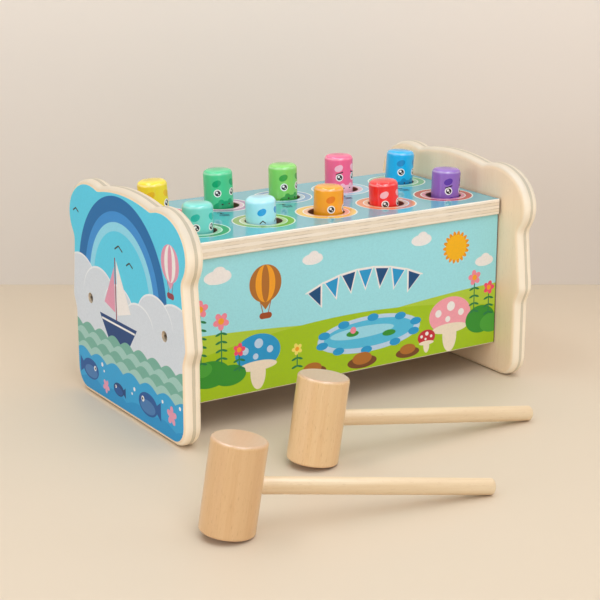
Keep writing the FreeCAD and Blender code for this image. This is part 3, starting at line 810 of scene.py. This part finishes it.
def dressMallet(row):
    headLow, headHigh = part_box("mallet_head_" + row)
    handleLow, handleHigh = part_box("mallet_handle_" + row)
    middle = (headLow + headHigh) / 2
    reach = (handleLow + handleHigh) / 2 - middle
    turn = (0, math.atan2(-reach.z, math.hypot(reach.x, reach.y)), math.atan2(reach.y, reach.x))
    for part, wood in (("head", "turned beech head, "), ("handle", "turned birch handle, ")):
        look = mallet[part]
        material, tree, shader = newMaterial(wood + row, Coat_Weight=look["coat"],
                                             Coat_Roughness=look["coatRoughness"])
        grain = placed(tree, middle, turn)
        if part == "head":
            x, y, z = axes(tree, grain)
            grain = joined(tree, z, x, y)
        side = use(tree, beech, Vector=grain, Flecks=look["flecks"],
                   **shades(mallet[row if part == "head" else "handles"]))
        colour, height = side["Color"], side["Height"]
        if part == "head":
            ends = use(tree, endGrain, Vector=grain, **shades(mallet["ends"]))
            half = mallet["headLength"] / 2
            endMask = between(tree, calc(tree, "ABSOLUTE", z), half - mallet["endFrom"], half - mallet["endTo"])
            colour = blend(tree, endMask, colour, ends["Color"])
            height = plus(tree, times(tree, height, minus(tree, 1.0, endMask)), times(tree, ends["Height"], endMask))
        surface(tree, shader, look, colour, side["Height"], height)
        dress(material, f"mallet_{part}_{row}")


dressMallet("front")
dressMallet("rear")
print("mallets finished")


# Inner woodwork and the small steel parts
bareLook = {
    "flecks": 0.5, "wearAndSheenPatches": {"scale": 0.14, "detail": 3}, "rubbedRange": (0.42, 0.62), "rubbedShare": 0.18,
    "sway": 0.2, "roughness": 0.55, "relief": (0.35, 0.15),
}
steelLook = {
    "marks": {"scale": (3.5, 0.3, 0.3), "detail": 2}, "clouds": {"scale": 0.25, "detail": 4}, "cloudRange": (0.35, 0.7),
    "sway": 0.25, "roughness": 0.22, "relief": (0.2, 0.05),
}


def bareWood(name, light, dark, alongAxis):
    look = bareLook
    material, tree, shader = newMaterial(name)
    vector = placed(tree, benchMiddle)
    x, y, z = axes(tree, vector)
    grain = joined(tree, *{"x": (x, y, z), "y": (y, z, x), "z": (z, x, y)}[alongAxis])
    side = use(tree, beech, Vector=grain, Flecks=look["flecks"], **shades((light, dark)))
    wearAndSheenPatches = between(tree, noise(tree, vector, **look["wearAndSheenPatches"]), *look["rubbedRange"])
    colour = blend(tree, times(tree, wearAndSheenPatches, look["rubbedShare"]), side["Color"], dark)
    surface(tree, shader, look, colour, side["Height"], side["Height"])
    return material


def platedSteel(name, light, dark):
    look = steelLook
    material, tree, shader = newMaterial(name, Metallic=1.0)
    vector = placed(tree, benchMiddle)
    turningMarks = speckle(tree, vector, **look["marks"])
    clouds = between(tree, noise(tree, vector, **look["clouds"]), *look["cloudRange"])
    surface(tree, shader, look, blend(tree, clouds, light, dark), turningMarks, turningMarks)
    return material


rockers = [f"rocker_{number}" for number in range(1, 6)]
pegFeet = [f"peg_foot_{row}_{number}" for row in ("back", "front") for number in range(1, 6)]
dress(bareWood("sanded rocker wood", "#DDB98A", "#BF9465", "y"), *rockers)
dress(bareWood("turned spacer wood", "#E6C79C", "#CBA274", "x"), "middle_spacers", "end_spacers", "end_dowels")
dress(bareWood("upright dowel wood", "#E6C79C", "#CBA274", "z"), "deck_dowels")
dress(bareWood("sanded peg foot wood", "#E3C8A0", "#C9A577", "x"), *pegFeet)
dress(platedSteel("zinc plated axle", "#B9BABD", "#97999D"), "axle_rod")
dress(platedSteel("darkened screw steel", "#B8AE9F", "#877C6E"), "end_screws")
print("inner parts finished")


# A number printed at each column, thin raised ink over two short rules
numberPrint = {
    "height": 5.0, "thick": 0.04, "aside": -13.0, "beyond": 21.5, "bold": 0.18, "capShare": 0.7, "curveSteps": 6,
    "rules": ((-5.4, 3.6), (-8.2, 2.6)), "ruleWidth": 1.5, "ink": "#1E2C42", "specular": 0.15,
    "thin": {"scale": 2.4, "detail": 3}, "thinRange": (0.3, 0.75), "thinShare": 0.15, "thinInk": "#6F8894",
    "sway": 0.15, "roughness": 0.4, "weld": 1e-6,
}


def numberMaterial():
    look = numberPrint
    material, tree, shader = newMaterial("dark printing ink", Specular_IOR_Level=look["specular"])
    thin = between(tree, noise(tree, placed(tree, benchMiddle), **look["thin"]), *look["thinRange"])
    colour = blend(tree, times(tree, thin, look["thinShare"]), look["ink"], look["thinInk"])
    surface(tree, shader, look, colour, thin)
    return material


def printNumber(number, x, y, material):
    look = numberPrint
    thick = look["thick"] * mm
    text = bpy.data.curves.new(f"number_{number}", "FONT")
    text.body = str(number)
    text.size = look["height"] * mm / look["capShare"]
    text.extrude = thick / 2
    text.offset = look["bold"] * mm
    text.align_x = "CENTER"
    text.resolution_u = look["curveSteps"]
    holder = addObject("text", text)
    mesh = bpy.data.meshes.new_from_object(holder)
    bpy.data.objects.remove(holder)
    bm = bmesh.new()
    bm.from_mesh(mesh)
    bmesh.ops.remove_doubles(bm, verts=bm.verts, dist=look["weld"])
    bmesh.ops.translate(bm, verts=bm.verts, vec=(0, -look["height"] * mm / 2, 0))
    for up, half in look["rules"]:
        rule = bmesh.ops.create_cube(bm, size=1.0)["verts"]
        bmesh.ops.scale(bm, verts=rule, vec=(half * 2 * mm, look["ruleWidth"] * mm, thick))
        bmesh.ops.translate(bm, verts=rule, vec=(0, up * mm, 0))
    bmesh.ops.recalc_face_normals(bm, faces=bm.faces)
    bmesh.ops.translate(bm, verts=bm.verts, vec=(x, y, deckTop + thick / 2))
    bm.to_mesh(mesh)
    bm.free()
    mesh.materials.clear()
    mesh.materials.append(material)
    piece = addObject(f"number_{number}", mesh)
    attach(piece, "bench")


inkMaterial = numberMaterial()
for number, column in enumerate(columns, 1):
    printNumber(number, column + numberPrint["aside"] * mm,
                benchMiddle.y + rowOffset - numberPrint["beyond"] * mm, inkMaterial)
print("numbers printed")


# Floor and wall, with painted shade toward the corner where they meet
studio = {
    "floor": "#D8C6AE", "floorFar": "#D4C2AA", "farRange": (0, 150), "wallLow": "#D8CDC2", "wallHigh": "#F4E8DC",
    "cornerRange": (0.0, 0.5), "wallRange": (0.0, 450), "roughness": 0.5, "sway": 0.3,
    "wallBehind": 0.255, "wide": 2.2, "tall": 1.5, "ahead": 1.5,
}
view = {"place": (-0.58235, -0.90040, 0.36452), "heading": 32.756, "dip": 15.895, "lens": 96.33, "sensor": 36,
        "near": 0.02}
heading = math.radians(view["heading"])


def buildSweep():
    bm = bmesh.new()
    line = [bm.verts.new((-studio["wide"], y, z)) for y, z in
            ((-studio["ahead"], 0), (studio["wallBehind"], 0), (studio["wallBehind"], studio["tall"]))]
    edges = [bm.edges.new(pair) for pair in zip(line[:-1], line[1:])]
    result = bmesh.ops.extrude_edge_only(bm, edges=edges)
    moved = [item for item in result["geom"] if isinstance(item, bmesh.types.BMVert)]
    bmesh.ops.translate(bm, verts=moved, vec=(studio["wide"] * 2, 0, 0))
    bmesh.ops.recalc_face_normals(bm, faces=bm.faces)
    if min(bm.faces, key=lambda face: face.calc_center_median().z).normal.z < 0:
        bmesh.ops.reverse_faces(bm, faces=bm.faces)
    bmesh.ops.rotate(bm, verts=bm.verts, cent=(0, 0, 0), matrix=Matrix.Rotation(-heading, 3, "Z"))
    bmesh.ops.translate(bm, verts=bm.verts, vec=benchMiddle)
    mesh = bpy.data.meshes.new("sweep")
    bm.to_mesh(mesh)
    bm.free()
    sweep = addObject("sweep", mesh)
    material, tree, shader = newMaterial("plain pale sweep")
    depth, height = axes(tree, placed(tree, benchMiddle, (0, 0, -heading)))[1:]
    onWall = between(tree, height, *studio["cornerRange"])
    # painted shade: the floor darker toward the wall and the wall darker low down
    floor = blend(tree, between(tree, depth, *studio["farRange"]), studio["floor"], studio["floorFar"])
    wall = blend(tree, between(tree, height, *studio["wallRange"]), studio["wallLow"], studio["wallHigh"])
    surface(tree, shader, studio, blend(tree, onWall, floor, wall), onWall)
    through = tree.nodes.new("ShaderNodeBsdfTransparent")  # seen from behind, the wall is left out
    facing = tree.nodes.new("ShaderNodeNewGeometry")
    mixShaders(tree, facing.outputs["Backfacing"], shader.outputs[0], through.outputs[0], "Material Output")
    mesh.materials.append(material)


buildSweep()
print("floor and wall built")

# Camera at the photograph's place
camera = bpy.data.cameras.new("camera")
camera.lens = view["lens"]
camera.sensor_width = view["sensor"]
camera.clip_start = view["near"]
cameraObject = addObject("camera", camera)
cameraObject.location = benchMiddle + Vector(view["place"])
cameraObject.rotation_euler = (math.radians(90 - view["dip"]), 0, -heading)
bpy.context.scene.camera = cameraObject

# Soft studio light: two strips overhead that draw the streaks on the pegs, soft panels round the front, and the room
lamps = {  # place, width, height, power, and whether it lights more than the highlights on gloss
    "strip left": ((-0.42, 0.1, 1.15), 0.6, 0.3, 2.2, True),
    "strip right": ((0.16, -0.42, 1.2), 0.6, 0.3, 2.2, True),
    "catch left": ((-0.42, 0.1, 1.15), 0.8, 0.25, 10.0, False),
    "catch right": ((0.16, -0.42, 1.2), 0.8, 0.25, 10.0, False),
    "panel left": ((-1.5, -0.2, 0.45), 0.7, 0.7, 4.4, True),
    "panel front": ((-0.55, -1.6, 0.95), 0.9, 0.9, 6.0, True),
    "panel high": ((-0.2, -1.0, 1.4), 0.65, 0.65, 5.6, True),
    "panel right": ((1.3, -0.8, 0.8), 1.0, 1.0, 3.0, True),
}
lampTint = (0.95, 1.0, 1.06)
lampAim = benchMiddle + Vector((0, -0.05, 0.06))
room = {"light": 0.45, "tint": (1.0, 1.0, 0.98), "seen": "#DCCEC1"}
for name, (place, wide, tall, power, diffuse) in lamps.items():
    light = bpy.data.lights.new(name, "AREA")
    light.shape = "RECTANGLE"
    light.size = wide
    light.size_y = tall
    light.energy = power
    light.color = lampTint
    lightObject = addObject(name, light)
    lightObject.location = benchMiddle + Vector(place)
    lightObject.rotation_euler = (lampAim - lightObject.location).to_track_quat("-Z", "Y").to_euler()
    lightObject.visible_diffuse = diffuse
world = bpy.data.worlds.new("room")
world.use_nodes = True
bpy.context.scene.world = world
nodes = world.node_tree.nodes
background = nodes["Background"]
background.inputs["Color"].default_value = (*room["tint"], 1)
background.inputs["Strength"].default_value = room["light"]
seen = nodes.new("ShaderNodeBackground")
seen.inputs["Color"].default_value = tint(room["seen"])
rays = nodes.new("ShaderNodeLightPath")
mixShaders(world.node_tree, rays.outputs["Is Camera Ray"], background.outputs[0], seen.outputs[0], "World Output")
bpy.context.scene.view_settings.view_transform = "Standard"
print("camera and light placed")
